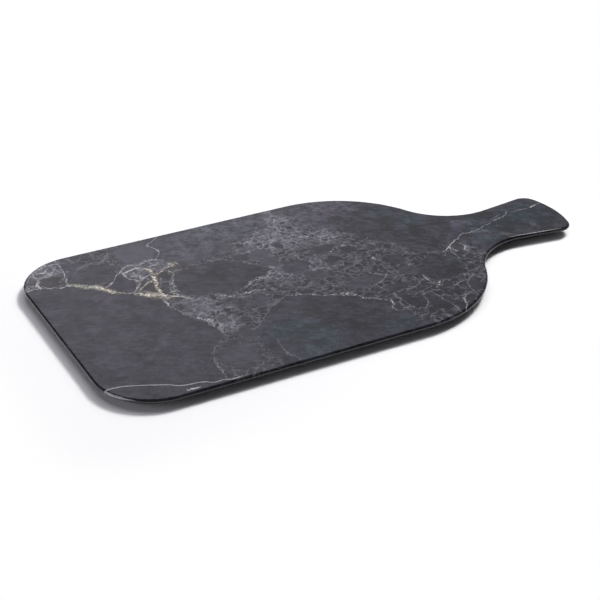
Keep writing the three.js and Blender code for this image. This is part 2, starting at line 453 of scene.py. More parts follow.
WHITE_VEINS = [
    ("X", (-112, 14, 0.4), (-108, 11, 0.9), (-104, 8, 1.2), (-101, 5.5, 0.8), (-98, 3, 0)),
    ("X", (-197, 63.5, 0.2), (-190, 64.8, 0.9), (-185, 64.5, 1), (-182, 63.5, 0.7), (-177, 62.3, 0.6),
        (-172, 59.5, 0.6), (-169.5, 58, 0.7), (-166, 59, 0.7), (-163, 60, 0.6)),
    ("Y", (58, -163, 0.7), (64, -164, 0.6), (69, -163.5, 0.6), (75, -162, 0.5), (81, -161, 0.5),
        (88, -161, 0.4), (98, -160, 0.2)),
    ("Y", (63, -183, 0.6), (68, -183.5, 0.8), (72, -183, 0.6), (76, -181, 0.5), (80, -180.5, 0.3),
        (84, -181.5, 0.4), (88, -181, 0)),
    ("X", (-181, 79, 0), (-177, 80.5, 0.5), (-172, 81.5, 0.7), (-168, 82.5, 0.6), (-165, 86, 0.5),
        (-163, 90, 0)),
    ("X", (-144, 45, 1), (-140, 48, 0.7), (-136, 51, 0.6), (-132, 56.5, 0.5), (-128, 60, 0.5),
        (-125, 63.5, 0.5), (-121, 66.5, 0.5), (-116, 67, 0)),
    ("Y", (29, -131, 0.6), (36, -124.5, 0.8), (42, -121.5, 0.8), (46, -123, 1), (50, -125.5, 1.2),
        (56, -126.5, 1.1), (62, -126, 0.5)),
    ("X", (-127, 57, 0.4), (-121, 60.5, 0.9), (-115, 61, 1), (-111, 58, 0.9), (-109, 53, 0.6)),
    ("X", (-121, 44, 0.4), (-115, 46, 0.8), (-111, 48, 0.7), (-109, 52, 0.3)),
    ("Y", (34, -110, 0), (36, -104, 0.5), (37.5, -99, 0.6), (41, -96, 0.5), (46, -97, 0.5), (50, -100, 0)),
    ("Y", (22, -102, 0), (26, -101.8, 0.4), (31, -101, 0.4), (37, -98, 0)),
    ("Y", (3, -116, 0.3), (8, -116.5, 0.5), (14, -117, 0.5), (19, -114.5, 0.3)),
    ("Y", (65, -99.5, 0.3), (70, -95.5, 0.5), (74, -92.3, 0.7), (79, -91.7, 0.8), (83, -93.5, 0.7),
        (87, -96, 0.9), (89.5, -95, 0.9), (92, -91.5, 0.9), (95, -87, 1), (99, -82, 1)),
    ("X", (-182, 72, 0.3), (-180.5, 75.5, 0.8), (-178, 78, 0.9), (-174, 79, 0.9), (-170, 79.8, 1),
        (-167.5, 82, 0.9), (-166, 86, 0.7), (-165.3, 90, 0.3)),
    ("X", (-180, 84, 0), (-177, 85.5, 0.8), (-174, 85, 1), (-171, 87, 0.7), (-169, 90, 0)),
    ("X", (-178, 91, 0.3), (-173, 91.5, 0.6), (-168, 92.5, 0.5), (-161, 91.5, 0.3)),
    ("Y", (-22.5, 94, 0), (-20, 91.5, 0.6), (-16.5, 90.6, 0.6), (-13, 92.5, 0.5)),
    ("Y", (-22.5, 97, 0), (-20, 100.5, 0.5), (-15.5, 101.8, 0.6), (-11, 100, 0.5)),
    ("X", (-150, -96.3, 0), (-146, -96.5, 0.8), (-142.5, -96.8, 1), (-139, -96, 0)),
    ("X", (82, -19.5, 0), (88, -17, 0.6), (92, -14, 0.8), (96, -11, 1), (99, -8.7, 1.1), (103, -6.8, 0.9),
        (107, -4, 0.9), (112, -2, 0.7), (117, -2.6, 0.4), (122, -1.6, 0.4), (128, 0.5, 0.4), (133, 2, 0.3),
        (138, 2.3, 0.5), (142, 4.7, 0.5), (147, 6.8, 0.4), (153, 8, 0.4), (156, 9.5, 0.6), (159, 12, 0.4),
        (161, 12.3, 0.1), (165, 11, 0.3), (171, 11.5, 0.3), (177, 10.3, 0.3), (181, 10.6, 0.6),
        (185, 12.5, 0.7), (191, 13.7, 0.7), (197, 14, 0.6)),
    ("Y", (-96, 51, 0.3), (-91, 53.5, 0.5), (-87, 56.5, 0.7), (-84, 57.7, 0.8), (-81, 58.2, 0.7),
        (-79, 60, 0.5), (-75, 63, 0)),
]
SPECKLED_VEINS = [
    ("Y", (5, -102, 0), (8, -103, 1.5), (11, -104.8, 1.5), (14, -106, 2), (20, -105, 2), (26, -103, 1.6),
        (33, -104, 0)),
    ("X", (-123, 52, 0), (-119, 51.5, 1), (-115, 55, 1.2), (-112, 58, 0.8), (-109, 60, 0)),
    ("Y", (36, -123, 0), (41, -121, 1.2), (47, -117.5, 1.4), (52, -119, 1), (57, -121, 0)),
    ("X", (-109, 56, 0), (-105, 58.5, 1), (-101, 59.5, 1.2), (-97, 57, 0)),
    ("Y", (-58, 54, 0), (-54, 53, 0.7), (-50, 52, 0.5), (-46, 52, 0.6), (-41, 51.8, 0.4), (-37, 52.5, 0)),
    ("X", (50, -60, 0), (54, -57.5, 1.2), (57, -54.3, 0.9), (60, -52.5, 0)),
    ("X", (-42, -22.5, 0), (-36, -25, 0.5), (-30, -28, 0.7), (-27, -30, 0.6), (-20, -34, 0.6),
        (-15, -36.5, 1), (-10, -38.8, 1.4), (-5, -40.5, 1.8), (-2, -43, 1.7), (0, -48, 1.1), (5, -52.5, 1),
        (10, -56.5, 1), (15, -59.5, 0)),
    ("Y", (-76, 17, 0), (-75, 14, 0.6), (-73, 11.5, 0.7), (-69, 11, 0.8), (-66, 13.6, 0.9), (-62, 14, 0.8),
        (-57, 15.5, 0)),
    ("Y", (-38, -102.5, 0), (-33, -102, 1.6), (-29, -101, 2.4), (-25, -103, 1.8), (-20, -107.5, 0.7),
        (-14, -110, 0.5), (-9, -112.5, 0.4), (-2, -115, 0.3), (4, -116.5, 0.5), (9, -115.5, 0.7),
        (14, -113.5, 0)),
    ("X", (50.5, -23, 0), (53, -23, 1.6), (55.5, -23, 0)),
    ("Y", (-8, 35, 0), (-5, 35, 1.3), (-2, 35, 0)),
    ("X", (-197, 66, 0.2), (-192, 67, 1.6), (-187, 68, 2.2), (-183.5, 69, 0)),
    ("Y", (-48, -102, 0), (-44, -100.5, 1.2), (-39, -98, 1.4), (-34, -97, 0)),
    ("X", (-122, 66.5, 0.5), (-117, 67, 1.2), (-111, 66, 1.4), (-105, 67, 1.2), (-99, 67, 1), (-95, 64, 0)),
    ("X", (-86, 2, 0), (-80, -2, 0.8), (-75, -4, 1.3), (-70, -5, 0.9), (-64, -5.5, 1), (-58, -6, 1.5),
        (-53, -8, 0.7), (-48, -6, 0)),
    ("X", (-64, 0, 0), (-58, 3.5, 0.9), (-53, 7, 1), (-48, 9, 1.5), (-43, 8.5, 1.4), (-39, 11, 0.9),
        (-35, 15, 1), (-31, 18, 0)),
    ("X", (-44, 61, 0), (-38, 62.5, 0.8), (-33, 60, 0.9), (-29, 60, 1.4), (-25, 64, 0.8), (-20, 69, 0)),
    ("Y", (64, -2, 0), (69, -2.5, 0.8), (74, -1.5, 1.5), (79, 0.5, 1.1), (84, 3, 0)),
    ("Y", (40, -17, 0), (43, -18.5, 0.5), (46.5, -19, 1.3), (50, -17.5, 0.7), (56, -13, 0.4), (62, -8, 0)),
    ("X", (9, 15, 0), (12, 18, 0.5), (15, 19.5, 0.8), (18, 23, 0.4), (22, 26, 0)),
    ("X", (24, 22, 0), (26, 23.5, 1), (29, 24, 1), (31, 22, 0)),
    ("X", (3, 47, 0), (6, 50, 1.2), (9, 49, 1), (12, 45, 0)),
]
GREY_VEINS = [
    ("X", (135, 4.5, 0), (139, 5.5, 0.5), (144, 8.3, 0.5), (149, 10.5, 0.5), (153, 11.5, 0)),
    ("Y", (-96, -121.5, 0.2), (-82, -121, 0.5), (-75, -120.5, 0.5), (-70, -118.5, 0.5), (-65, -116, 0.5),
        (-58, -111, 0)),
    ("X", (-131, -79, 0), (-127, -77, 0.4), (-123, -73, 0.4), (-119, -68, 0)),
    ("X", (-107, -99, 0.3), (-103, -95, 0.5), (-100, -92.5, 0.5), (-96, -91.5, 0.5), (-93, -87, 0)),
    ("Y", (-99, -73, 0.4), (-94, -73.5, 0.5), (-88, -77, 0.4), (-82, -76.8, 0.4), (-76, -76, 0.3),
        (-68, -75, 0)),
    ("X", (-83, -51, 0), (-78, -49, 0.6), (-74, -45.5, 0.6), (-68, -40, 0.5), (-62, -34, 0.5),
        (-57, -29.5, 0.6), (-50, -25.5, 0.5), (-44, -22.5, 0)),
    ("X", (-68, 47.5, 0), (-60, 45, 0.5), (-54, 41, 0.4), (-50, 38.5, 0.5), (-46, 36, 0.6), (-44, 31, 0.9),
        (-40, 27.5, 0.6), (-38, 24, 0.9), (-36, 20.5, 0.9), (-32, 17.5, 0)),
    ("Y", (-88, 69, 0.3), (-82, 69.5, 0.6), (-76, 70, 0.6), (-71, 70, 0.5), (-66, 71.5, 0.6),
        (-60, 76, 0.6)),
    ("X", (73, -63, 0), (76, -59.5, 0.6), (80, -57.5, 0.6), (84, -54.8, 0.6), (88, -51.5, 0.5),
        (91, -46.5, 0.6), (93, -41, 0.5), (96, -36, 0.5), (103, -35.5, 0)),
    ("X", (58, -67, 0), (61, -65, 0.5), (64, -62.5, 0.6), (69, -61, 0.5), (76, -59, 0.3)),
    ("Y", (-80, 27, 0.4), (-78, 24, 0.6), (-72, 22.3, 0.6), (-66, 21.5, 0.5), (-60, 20.5, 0.8),
        (-52, 22, 0.3)),
    ("Y", (-80, 29, 0.5), (-78.5, 31, 0.9), (-75, 33.5, 0.6), (-70, 36, 0.6), (-65, 37.5, 0.5),
        (-58, 41, 0.3)),
    ("X", (24, -52.5, 0), (30, -52, 0.7), (36, -53, 0.6), (42, -50, 0.7), (48, -46, 0)),
    ("X", (30, -63, 0), (36, -60.5, 0.6), (42, -59, 0.8), (48, -56.5, 0.6), (53, -54, 0)),
    ("X", (10, -41, 0), (14, -38.5, 0.6), (20, -36, 0.8), (25, -33, 0.8), (29, -29, 0.7), (33, -26, 0)),
    ("Y", (-98, 45, 0.4), (-92, 47, 0.7), (-86, 47.5, 0.6), (-78, 46, 0.5), (-70, 45.5, 0.8), (-62, 44, 0)),
    ("Y", (-26, 94.5, 0), (-20, 92, 0.6), (-16, 92.5, 0.7), (-11, 96, 0.5)),
    ("Y", (-34, 87.5, 0), (-29, 88.5, 0.7), (-24, 88.3, 0.7), (-20, 89.5, 0)),
    ("Y", (-22, 128, 0.3), (-16, 130.5, 0.5), (-10, 129, 0.5), (-5, 126.5, 0.4), (-1, 128.5, 0.3)),
    ("X", (118, -5, 0), (121, -4, 0.5), (125, -5.5, 0.5), (128, -9, 0.4), (131, -12, 0)),
    ("X", (113, 18, 0), (116, 18.5, 0.5), (119, 17, 0.5), (121, 13, 0)),
    ("Y", (70, -178, 0), (84, -181, 0.6), (96, -176, 0.4)),
    ("X", (-160, 68, 0), (-154, 75, 0.4), (-149, 80, 0.6), (-143, 82, 0)),
    ("X", (-138, 80, 0), (-133, 81.5, 0.7), (-128, 85, 0.8), (-124, 90, 0)),
]

# Smooth pale lines, which don't waver: one vein across the corner, and two painted highlights along the
# rounded rim, one at the near corner, where the corner vein also crosses, and one along the grip's near side
RIM_VEINS_AND_HIGHLIGHTS = [
    ("X", (-196, -76.5, 0.5), (-191, -73.3, 0.65), (-187, -73, 0.6), (-182, -73.7, 0.6), (-172, -77.3, 0.5),
        (-164, -81, 0.6), (-156, -85, 0.5), (-147, -90.3, 0.65), (-141, -91, 0.4), (-136, -92.2, 0.55),
        (-129, -95.8, 0.45), (-125, -95.5, 0.45), (-120, -97.3, 0.55), (-112, -97, 0)),
    ("Y", (-91, -179, 0), (-88.5, -181.7, 0.25), (-86, -184.1, 0.45), (-82, -187.1, 0.7),
        (-78, -189.5, 0.65), (-75, -190.8, 0.5), (-72.5, -191.8, 0.3)),
    ("X", (137, -21.8, 0), (142, -22.2, 0.35), (150, -23.5, 0.45), (160, -25, 0.4), (170, -26.5, 0.35),
        (179, -27.9, 0)),
]

# Boundaries of the plain slabs, as (place along, place across)
BUTT_SLAB = [
    (-105, -121), (-75, -120.5), (-65, -116), (-57, -110), (-48, -102), (-40, -101.5), (-33, -103),
    (-25, -104), (-20, -109), (-9, -114), (5, -117.5), (12, -115), (20, -122), (28.5, -131), (34, -140),
    (42, -147), (50, -153), (57, -160), (60, -164), (62.5, -182), (63.5, -200),
]
FRONT_SLAB = [
    (-84, -110), (-80, -52), (-74, -45.5), (-68, -40), (-57, -29.5), (-50, -25.5), (-44, -22.5), (-36, -25),
    (-27, -30), (-20, -34), (-10, -38.8), (-2, -43), (1, -48.5), (10, -56.5), (15, -60), (17, -78),
    (22, -110),
]
MIDDLE_SLAB_TOP = [
    (-101, 20), (-98, 38), (-95, 41), (-88, 45), (-80, 46), (-70, 46), (-60, 44.5), (-54, 40.5), (-47, 36),
    (-44, 31), (-40, 27), (-37, 21), (-34, 16),
]
MIDDLE_SLAB_BOTTOM = [
    (-101, 20), (-98, 8), (-92, 5), (-80, 2), (-70, 1), (-62, 2), (-56, 4), (-52, 8), (-46, 9.5), (-41, 12),
    (-37, 15), (-34, 16),
]
FAR_SLAB = [
    (-98, 110), (-92, 60), (-86, 51), (-80, 47), (-66, 49.5), (-50, 51), (-44, 56), (-40, 62), (-30, 64),
    (-25, 70), (-12, 73), (-6, 84), (0, 110),
]
NECK_SLAB = [
    (5, 110), (10, 84), (17, 66), (26, 51), (36, 37), (45, 28), (53, 18), (60, 8), (66, -4), (74, -12),
    (84, -17), (92, -13.5), (99, -8.5), (104, -12), (108, -30), (114, -60),
]

# Plain islands among the fragments, as (centre x, centre y, half length, half width, tone of the stone)
ISLANDS = [
    (-174, 70, 8, 8, -0.4), (-146, 66, 17, 15, -0.2), (-132, 45, 8.5, 13.5, -0.4), (-108, 82, 15, 16, 0.8),
    (-117, 31, 4.5, 7, -0.8), (-103.5, 43, 4.5, 4, -0.8), (-117, 54, 3, 3, 0.8), (-108, 28, 2.5, 3.5, 0),
    (-156, 84, 6.5, 5, -0.1), (-18, 11, 10, 10.5, 0), (10, 26, 8.5, 5.5, -0.1), (10, 9, 6.5, 5, -0.6),
    (-63, -18, 10.5, 6.5, 0.1), (46, -11, 7.5, 6.5, -0.7), (30, -46, 10, 5.5, -0.4), (69, -38, 16, 15, -0.1),
    (-12, -6, 9, 7, 0.3), (11, -30, 13, 7, 0.4), (96, -16.5, 4.6, 4.6, -0.8), (172, -4, 17, 14, -1),
    (148, -4, 15, 11, -1.2), (29, -71, 6.5, 8, -0.2), (42, -76, 7, 13, -0.2), (77, -68, 6, 9, 0),
    (26, 15, 6, 4.5, -0.3), (-105, -74, 11, 13, 0.4), (25, -60, 4.5, 6, -0.5), (60, -70, 5, 4, -0.4),
    (-32, 40, 9, 6, 0.7), (-44, 41, 5, 5, -0.1), (-30, 26, 6, 7, 0.5), (-14, 46, 4, 5, -0.4),
    (60, -92, 12, 6, -0.3), (-86, -52, 7, 9, 0.3), (48, -30, 6, 7, 0.2),
]

# Clouds in the slabs and in the broken stone, as (centre x, centre y, half length, half width)
COOL_CLOUDS = [
    (-62, -62, 22, 14), (-48, -80, 18, 16), (-42, 86, 24, 16), (96, -28, 18, 14), (88, 36, 18, 10),
    (-62, -92, 20, 10), (8, -90, 18, 10), (76, 56, 12, 8), (-82, -28, 10, 16), (-14, 30, 9, 8),
    (122, -16, 16, 9), (168, 4, 26, 22), (128, 4, 18, 18),
]
VIOLET_CLOUDS = [
    (-108, 28, 3, 4), (-150, 37, 6, 5), (-66, 92, 10, 8), (113, 5, 12, 12), (-150, 30, 14, 8),
    (45, 74, 12, 12), (-130, 44, 8, 14), (15, -97, 8, 5),
]
UMBER_CLOUDS = [
    (96, -16.5, 5, 5), (-104, 43, 5, 4), (-117, 31, 4, 7), (-174, 70, 9, 9), (-187, 82, 9, 12),
    (-90, 46, 7, 7),
]
DIM_SLABS = [
    (-66, 24, 34, 24), (-30, -66, 50, 40), (75, 30, 60, 60), (150, 0, 60, 40), (69, -38, 26, 24),
    (40, -75, 40, 40), (-12, -84, 30, 20),
]
PALE_SLABS = [(-62, 74, 40, 26), (-20, 86, 34, 18), (34, 80, 34, 26), (-42, 88, 20, 14)]
STREAKED_SLABS = [(46, 62, 48, 46), (-30, 86, 56, 20), (80, 20, 40, 40), (150, 0, 60, 40)]
NET_CLOUDS = [
    (45, -72, 44, 34), (96, -28, 18, 16), (-110, 40, 26, 30), (-162, 78, 36, 24), (-105, -80, 22, 30),
]
FAINT_CLOUDS = [(-101, -76, 24, 34)]
SMUDGES = [(165, -11, 5, 9), (128, -8, 11, 6), (118, 14, 9, 5), (141, -16, 12, 4), (104, -20, 9, 9)]
PALE_CLOUDS = [
    (-118, 53, 9, 9), (-12, 54, 32, 26), (2, 84, 16, 18), (-98, -10, 16, 18), (22, 44, 18, 14),
    (-40, 86, 30, 14), (-110, 60, 20, 12), (-174, 86, 22, 16), (-20, 8, 30, 14), (-92, -38, 11, 11),
]
DARK_CLOUDS = [(52, -72, 44, 36), (70, -30, 40, 28), (-10, -70, 40, 36), (150, 0, 60, 40)]

# Colours of the stone, and tints that the clouds add to it
SLAB_DARK = srgb(17, 16, 21)
SLAB_LIGHT = srgb(60, 58, 68)
SLAB_PALE = srgb(84, 83, 92)
FRAGMENT_DARK = srgb(18, 17, 22)
WEB_GREY = srgb(136, 134, 144)
VEIN_GREY = srgb(132, 130, 137)
VEIN_WHITE = srgb(206, 203, 205)
VEIN_CREAM = srgb(235, 226, 216)
VEIN_GOLD = srgb(130, 120, 105)
VEIN_MOSS = srgb(176, 179, 160)
VEIN_UMBER = srgb(58, 56, 46)
COOL_TINT = (0.008, 0.026, 0.032)
VIOLET_TINT = (0.016, 0.006, 0.022)
UMBER_TINT = (0.008, 0.004, -0.003)

# Sizes of the print's noises in millimetres. Those that shift the drawn places also have their reach.
WAVER = (16.0, 3.6)
RIPPLE = (3.2, 2.4)
LUMPS = (8.0, 9.0)
BRUISES = (5.0, 7.0)
TORN_RIPPLE = (1.6, 1.6, 0.0)
GRIT_SIZE = 1.5
BLOTCH_SIZE = 7.0
FADE_SIZE = 9.0
CRUMBLE_SIZE = 3.4
SMOKE_SIZE = 9.0
MOTTLE_SIZE = 18.0
PATCH_SIZE = 4.0
SPOT_SIZE = 2.6
FRAGMENT_SIZE = 9.0
CHIP_SIZE = 4.6
SMEAR_SIZE = 22.0
PEEL_SIZE = 5.0

# Streaks in the slabs, as (direction in degrees, size in millimetres)
GRAIN = (29, 3.0)
SWIRL = (50, 5.0)
STREAK_STRETCH = (0.4, 1.0, 1.0)

# Tone of the slabs, from 0, dark, through 1, light, to 2, pale
MIDDLE_TONE = 0.49
GRAIN_WEIGHT = 0.5
GRAIN_CONTRAST = 3.4
PALE_CONTRAST = 2.0
SWIRL_CONTRAST = 3.2
DIM_TONE = -0.28
PALE_TONE = 0.60
PALE_SMOKE = 0.95
DARKER_TONE = -0.30
PALER_SHARE = 0.55

# Lightness of the broken stone, from 0, dark, to 1, the grey of its web
BROKEN_LEVEL = 0.08
PALE_LIFT = 0.22
DARK_DROP = -0.06
BLOTCH_CONTRAST = 0.9
GRIT_CONTRAST = 0.45
WEB_GLOW = 0.26
WEB_GLOW_BY_LEVEL = 1.3
NET_GLOW = 0.20
NET_WHOLENESS = 0.6
PIT_DROP = -0.18

# Edges of the slabs, islands, clouds and veins, and how strongly the layers show
SLAB_SOFTNESS = 2.4
FAR_SOFTNESS = 10.0
FAR_WHOLENESS = 0.74
NECK_SOFTNESS = 22.0
ISLAND_EDGE = (1.25, 0.80)
CLOUD_EDGE = (1.35, 0.1)
CRUMBLE = -1.6
FAINTNESS = -0.6
THINNEST_VEIN = 0.02
VEIN_END = 0.8
OFF_THE_VEIN = 9.0
SMUDGE_STRENGTH = 0.24
GREY_STRENGTH = 0.55
SPECKLED_STRENGTH = 0.75
WHITE_STRENGTH = 0.75
# Strength of the rim's pale lines, mostly painted highlights
RIM_HIGHLIGHT_STRENGTH = 0.6
# Painted shade on the rounded edge: how dark it gets, and how far below the face, in millimetres, it sets in
EDGE_PAINTED_SHADE = 0.5
EDGE_SHADE_ONSET = 0.15

GLAZE_IOR = 1.58
PEEL_DEPTH = 0.00002


class Marble(Shader):
    """The printed stone, layer by layer. Its layers share the noises that bend what is drawn."""

    def __init__(self):
        super().__init__(bpy.data.materials.new("marble print under glaze"))
        self.place = self.vector("MULTIPLY", self.millimetres(), (1.0, 1.0, 0.0))

        # The drawn places waver a little, as the edges of broken stone do
        shift = self.waver(self.place, *WAVER, detail=1.0)
        ripple = self.waver(self.place, *RIPPLE, detail=3.0, rough=0.6)
        lumps = self.waver(self.place, *LUMPS)
        bent = self.vector("ADD", self.place, self.vector("ADD", shift, ripple))
        tear = self.vector("ADD", lumps, self.vector("MULTIPLY", ripple, TORN_RIPPLE))
        self.torn = self.vector("ADD", bent, tear)
        self.rippled = self.vector("ADD", bent, ripple)

        self.grit = self.noise(self.place, GRIT_SIZE, rough=0.6)
        self.blotch = self.noise(self.place, BLOTCH_SIZE, detail=4.0, rough=0.65)
        self.ragged = self.ramp(self.grit, 0.3, 0.7, 0.5, 1.3, smooth=False)
        fade = self.noise(self.place, FADE_SIZE, detail=3.0, rough=0.6)
        self.fade = self.ramp(fade, 0.36, 0.62, 0.3, 1.0)

    def vein_distance(self, veins, place=None):
        """Distance from the nearest vein's middle line, in half widths of that vein."""
        parts = self.parts(self.rippled if place is None else place)
        nearest = None
        for axis, *knots in veins:
            along, across = (parts["X"], parts["Y"]) if axis == "X" else (parts["Y"], parts["X"])
            middle = self.curve(along, [(a, c) for a, c, _ in knots])
            half_width = self.curve(along, [(a, w) for a, _, w in knots])
            away = self.math("ABSOLUTE", self.minus(across, middle))
            spread = self.add(THINNEST_VEIN, half_width, self.ragged)
            half_span = (knots[-1][0] - knots[0][0]) / 2
            from_centre = self.math("ABSOLUTE", self.minus(along, knots[0][0] + half_span))
            end = half_span + VEIN_END
            beyond = self.ramp(from_centre, half_span, end, 0.0, OFF_THE_VEIN, smooth=False)
            distance = self.math("ADD", self.math("DIVIDE", away, spread), beyond)
            nearest = distance if nearest is None else self.math("MINIMUM", nearest, distance)
        return nearest

    def ellipse(self, x, y, half_length, half_width, edge):
        """1 well inside an ellipse, 0 outside it, soft between the two distances of its edge."""
        scale = (1 / half_length, 1 / half_width, 0.0)
        centre = (-x / half_length, -y / half_width, 0.0)
        scaled = self.vector("MULTIPLY_ADD", self.torn, scale, centre)
        return self.ramp(self.vector("LENGTH", scaled), *edge)

    def clouds(self, ellipses):
        """How deep a place is in the nearest of these clouds."""
        total = None
        for ellipse in ellipses:
            total = self.most(total, self.ellipse(*ellipse, CLOUD_EDGE))
        return total

    def beside(self, across, along, boundary, soft=SLAB_SOFTNESS):
        """0 below a slab's boundary, 1 above it."""
        return self.ramp(self.minus(across, self.curve(along, boundary)), -soft, soft)

    def slab_amount(self):
        """How plain the stone is at a place."""
        parts = self.parts(self.torn)
        x, y = parts["X"], parts["Y"]
        plain = self.minus(1.0, self.beside(x, y, BUTT_SLAB))
        plain = self.most(plain, self.minus(1.0, self.beside(y, x, FRONT_SLAB)))
        low = self.beside(y, x, MIDDLE_SLAB_BOTTOM)
        high = self.minus(1.0, self.beside(y, x, MIDDLE_SLAB_TOP))
        plain = self.most(plain, self.product(low, high))
        far = self.beside(y, x, FAR_SLAB, FAR_SOFTNESS)
        plain = self.most(plain, self.product(far, FAR_WHOLENESS))
        whole = self.ramp(self.minus(x, y), -70.0, 20.0, 0.72, 0.95)
        neck = self.beside(y, x, NECK_SLAB, NECK_SOFTNESS)
        return self.most(plain, self.product(neck, whole))

    def islands(self, plain):
        """The slabs with the islands added, and how much paler or darker the islands are."""
        paler = darker = None
        for *shape, tone in ISLANDS:
            inside = self.ellipse(*shape, ISLAND_EDGE)
            plain = self.most(plain, inside)
            if tone > 0:
                paler = self.most(paler, self.product(inside, tone))
            elif tone < 0:
                darker = self.most(darker, self.product(inside, -tone))
        return plain, paler, darker

    def streaks(self, place, angle, size):
        """Noise drawn out along one direction of the board."""
        inputs = {"Vector": place, "Angle": math.radians(angle)}
        turned = self.node("ShaderNodeVectorRotate", inputs, rotation_type="Z_AXIS").outputs[0]
        drawn_out = self.vector("MULTIPLY", turned, STREAK_STRETCH)
        return self.noise(drawn_out, size, detail=3.0, rough=0.6)

    def slab_tone(self, pale, smoke, darker):
        """Tone of the plain stone: mottling and streaks, paler or darker from slab to slab."""
        mottle = self.noise(self.place, MOTTLE_SIZE, detail=5.0, rough=0.85)
        grain = self.streaks(self.place, *GRAIN)
        grain = self.add(self.math("ADD", mottle, 0.25), grain, GRAIN_WEIGHT)
        contrast = self.add(GRAIN_CONTRAST, pale, PALE_CONTRAST)
        tone = self.add(MIDDLE_TONE, self.minus(grain, 1.0), contrast)
        swirl = self.minus(self.streaks(self.torn, *SWIRL), 0.5)
        tone = self.add(tone, swirl, self.product(self.clouds(STREAKED_SLABS), SWIRL_CONTRAST))
        tone = self.add(tone, self.clouds(DIM_SLABS), DIM_TONE)
        tone = self.add(tone, pale, PALE_TONE)
        tone = self.add(tone, self.product(pale, self.minus(smoke, 0.50)), PALE_SMOKE)
        return self.add(tone, darker, DARKER_TONE)

    def plain_stone(self, paler, darker):
        """The slabs, with cool and violet clouds in them."""
        pale = self.clouds(PALE_SLABS)
        smoke = self.noise(self.place, SMOKE_SIZE, detail=4.0, rough=0.7)
        smoke = self.ramp(smoke, 0.38, 0.62, 0.1, 1.0)
        tone = self.slab_tone(pale, smoke, darker)
        colour = self.mix(self.ramp(tone, 0.0, 1.0, smooth=False), SLAB_DARK, SLAB_LIGHT)
        colour = self.mix(self.ramp(tone, 1.0, 2.0, smooth=False), colour, SLAB_PALE)
        colour = self.mix(self.product(paler, PALER_SHARE), colour, SLAB_PALE)
        cool = self.product(self.clouds(COOL_CLOUDS), self.ramp(smoke, 0.1, 1.0, 0.35, 0.8))
        violet = self.product(self.clouds(VIOLET_CLOUDS), smoke)
        colour = self.vector("MULTIPLY_ADD", COOL_TINT, cool, colour)
        return self.vector("MULTIPLY_ADD", VIOLET_TINT, violet, colour)

    def cracks(self, place, size):
        """One generation of broken stone: distance to a crack, and a random number for each fragment."""
        inputs = {"Vector": place, "Scale": 1 / size}
        kind = "ShaderNodeTexVoronoi"
        edge = self.node(kind, inputs, voronoi_dimensions="2D", feature="DISTANCE_TO_EDGE")
        cell = self.node(kind, inputs, voronoi_dimensions="2D", feature="F1")
        chance = self.node("ShaderNodeSeparateColor", {"Color": cell.outputs["Color"]}).outputs[0]
        return edge.outputs["Distance"], chance

    def broken_stone(self):
        """The crushed stone: two generations of fragments, patchy pale webs round them and dark pits."""
        bruise = self.waver(self.place, *BRUISES, detail=3.0, rough=0.65)
        bruised = self.vector("ADD", self.place, bruise)
        large_edge, large_chance = self.cracks(bruised, FRAGMENT_SIZE)
        small_edge, small_chance = self.cracks(bruised, CHIP_SIZE)
        net = self.clouds(NET_CLOUDS)
        crushed = self.ramp(self.add(large_chance, net, NET_WHOLENESS), 0.80, 0.60)
        patchy = self.noise(self.place, PATCH_SIZE, detail=3.0, rough=0.7)
        patchy = self.ramp(patchy, 0.40, 0.62, 0.1, 1.0)
        chips = self.product(self.ramp(small_edge, 0.20, 0.0), crushed)
        web = self.product(self.most(self.ramp(large_edge, 0.13, 0.0), chips), patchy)
        dark = self.ramp(small_chance, 0.45, 0.30)
        pit = self.product(dark, self.ramp(small_edge, 0.05, 0.22), crushed)

        level = self.add(BROKEN_LEVEL, self.clouds(PALE_CLOUDS), PALE_LIFT)
        level = self.add(level, self.clouds(DARK_CLOUDS), DARK_DROP)
        light = self.add(level, self.minus(self.blotch, 0.5), BLOTCH_CONTRAST)
        light = self.add(light, self.minus(self.grit, 0.5), GRIT_CONTRAST)
        glow = self.add(self.add(WEB_GLOW, level, WEB_GLOW_BY_LEVEL), net, NET_GLOW)
        light = self.add(light, web, glow)
        light = self.add(light, pit, PIT_DROP)
        return self.mix(self.ramp(light, 0.0, 1.0, smooth=False), FRAGMENT_DARK, WEB_GREY)

    def stone(self):
        """Plain slabs that dissolve into broken stone."""
        plain, paler, darker = self.islands(self.slab_amount())
        crumble = self.noise(self.place, CRUMBLE_SIZE, detail=4.0, rough=0.65)
        crumble = self.add(plain, self.minus(crumble, 0.5), CRUMBLE)
        faint = self.add(1.0, self.clouds(FAINT_CLOUDS), FAINTNESS)
        broken = self.product(self.ramp(crumble, 0.90, 0.20), faint)
        colour = self.mix(broken, self.plain_stone(paler, darker), self.broken_stone())
        colour = self.vector("MULTIPLY_ADD", UMBER_TINT, self.clouds(UMBER_CLOUDS), colour)
        smudge = self.product(self.clouds(SMUDGES), self.ramp(self.blotch, 0.44, 0.60), SMUDGE_STRENGTH)
        return self.mix(smudge, colour, WEB_GREY)

    def veins(self, colour):
        """Grey, speckled and white veins, each brighter here and fainter there."""
        grey = self.ramp(self.vein_distance(GREY_VEINS), 1.3, 0.3)
        colour = self.mix(self.product(grey, self.fade, GREY_STRENGTH), colour, VEIN_GREY)
        speckled = self.ramp(self.vein_distance(SPECKLED_VEINS), 1.5, 0.3)
        specks = self.ramp(self.grit, 0.42, 0.62)
        speckled = self.product(speckled, specks, self.fade, SPECKLED_STRENGTH)
        colour = self.mix(speckled, colour, VEIN_WHITE)
        white = self.ramp(self.vein_distance(WHITE_VEINS), 1.15, 0.2)
        return self.mix(self.product(white, self.fade, WHITE_STRENGTH), colour, VEIN_WHITE)

